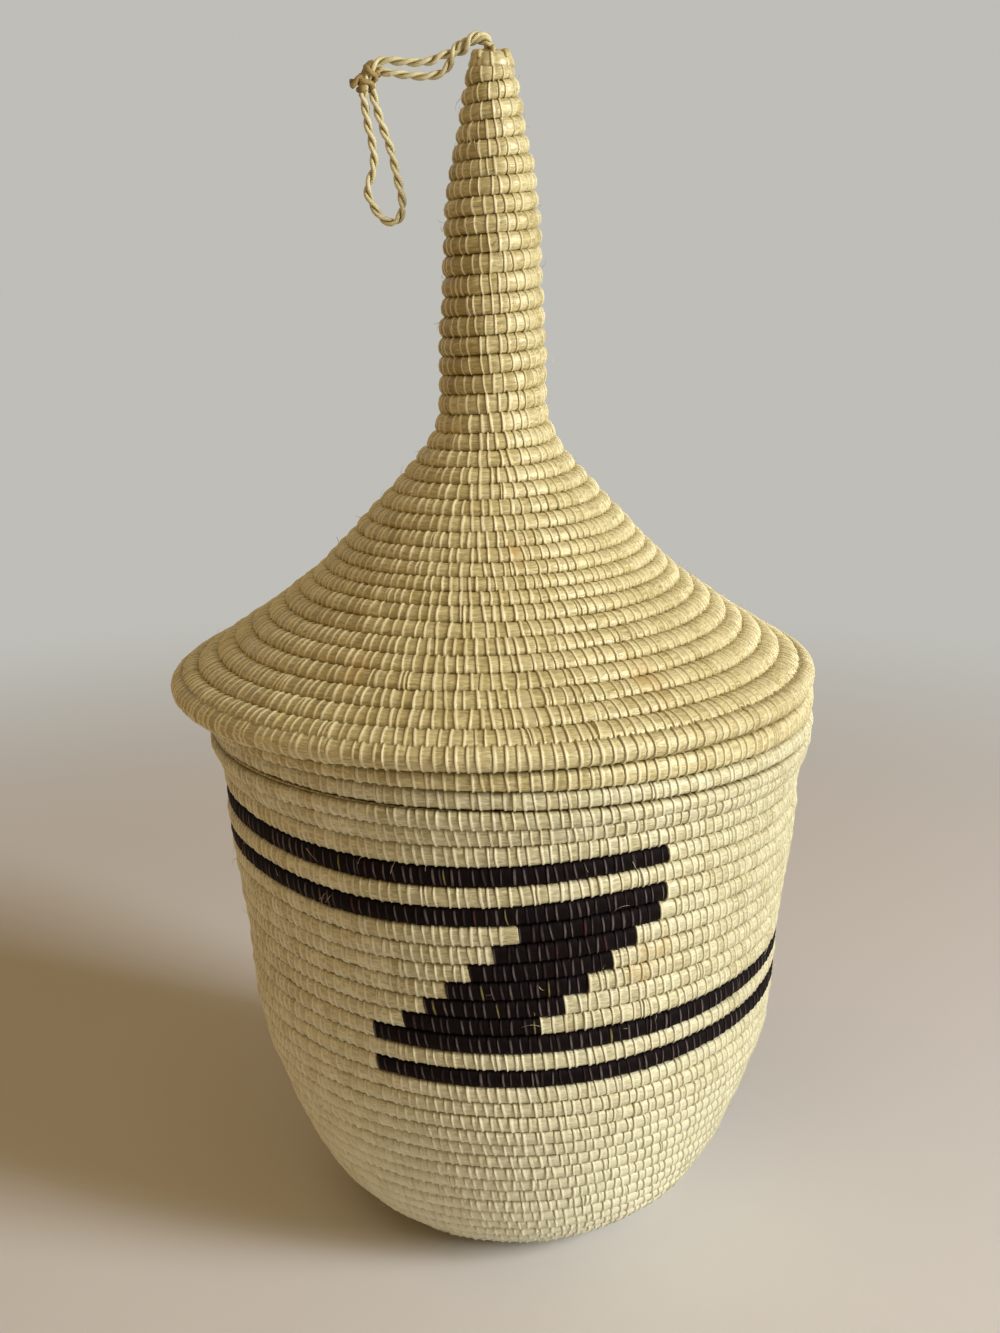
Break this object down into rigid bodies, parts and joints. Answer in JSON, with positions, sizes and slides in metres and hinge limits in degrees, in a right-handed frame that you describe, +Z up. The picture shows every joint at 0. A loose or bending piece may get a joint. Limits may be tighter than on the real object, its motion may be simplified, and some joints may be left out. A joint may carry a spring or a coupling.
{
  "type": "lidded basket",
  "caption": "Coiled basket with a rounded bowl, a dark stepped band between stripes, a conical lid that rises to a tall slim spire, and a knotted cord loop at its tip.",
  "frame": {"origin": "centre of the flat base that the basket stands on", "axes": "+Z up along the basket and its spire, -Y to the side of the bowl that carries the stepped figure seen in the picture, +X to that side's right"},
  "size_m": [0.1657, 0.166, 0.3071],
  "materials": {
    "pale_sisal": "matte",
    "lid_sisal": "matte",
    "dark_sisal": "matte",
    "sisal_cord": "matte"
  },
  "bodies": {
    "bowl": {"base_coil": "pale_sisal", "bowl_wall": "pale_sisal", "mouth_row": "pale_sisal", "mouth_collar": "pale_sisal", "lower_stripe_1": "dark_sisal", "lower_stripe_2": "dark_sisal", "upper_stripe_1": "dark_sisal", "upper_stripe_2": "dark_sisal", "front_step_1": "dark_sisal", "front_step_2": "dark_sisal", "front_step_3": "dark_sisal", "front_step_4": "dark_sisal", "front_step_5": "dark_sisal", "front_step_6": "dark_sisal", "back_step_1": "dark_sisal", "back_step_2": "dark_sisal", "back_step_3": "dark_sisal", "back_step_4": "dark_sisal", "back_step_5": "dark_sisal", "pale_stretch_1": "pale_sisal", "pale_stretch_2": "pale_sisal", "pale_stretch_3": "pale_sisal", "pale_stretch_4": "pale_sisal", "pale_stretch_5": "pale_sisal", "pale_stretch_6": "pale_sisal", "pale_stretch_7": "pale_sisal", "pale_stretch_8": "pale_sisal", "pale_stretch_9": "pale_sisal", "pale_stretch_10": "pale_sisal", "pale_stretch_11": "pale_sisal", "pale_stretch_12": "pale_sisal", "pale_stretch_13": "pale_sisal", "pale_stretch_14": "pale_sisal", "pale_stretch_15": "pale_sisal", "pale_stretch_16": "pale_sisal"},
    "lid": {"lid_seat_row": "lid_sisal", "lid_rim_row": "lid_sisal", "lid_cone": "lid_sisal", "lid_spire": "lid_sisal", "spire_tip": "lid_sisal", "cord_lead": "sisal_cord", "cord_run_upper": "sisal_cord", "cord_run_lower": "sisal_cord", "cord_knot": "sisal_cord", "cord_eye": "sisal_cord"}
  },
  "joints": [
    {"name": "lid_lift", "type": "slide", "parent": "bowl", "child": "lid", "axis": [0, 0, 1], "range_m": [0, 0.1]}
  ]
}
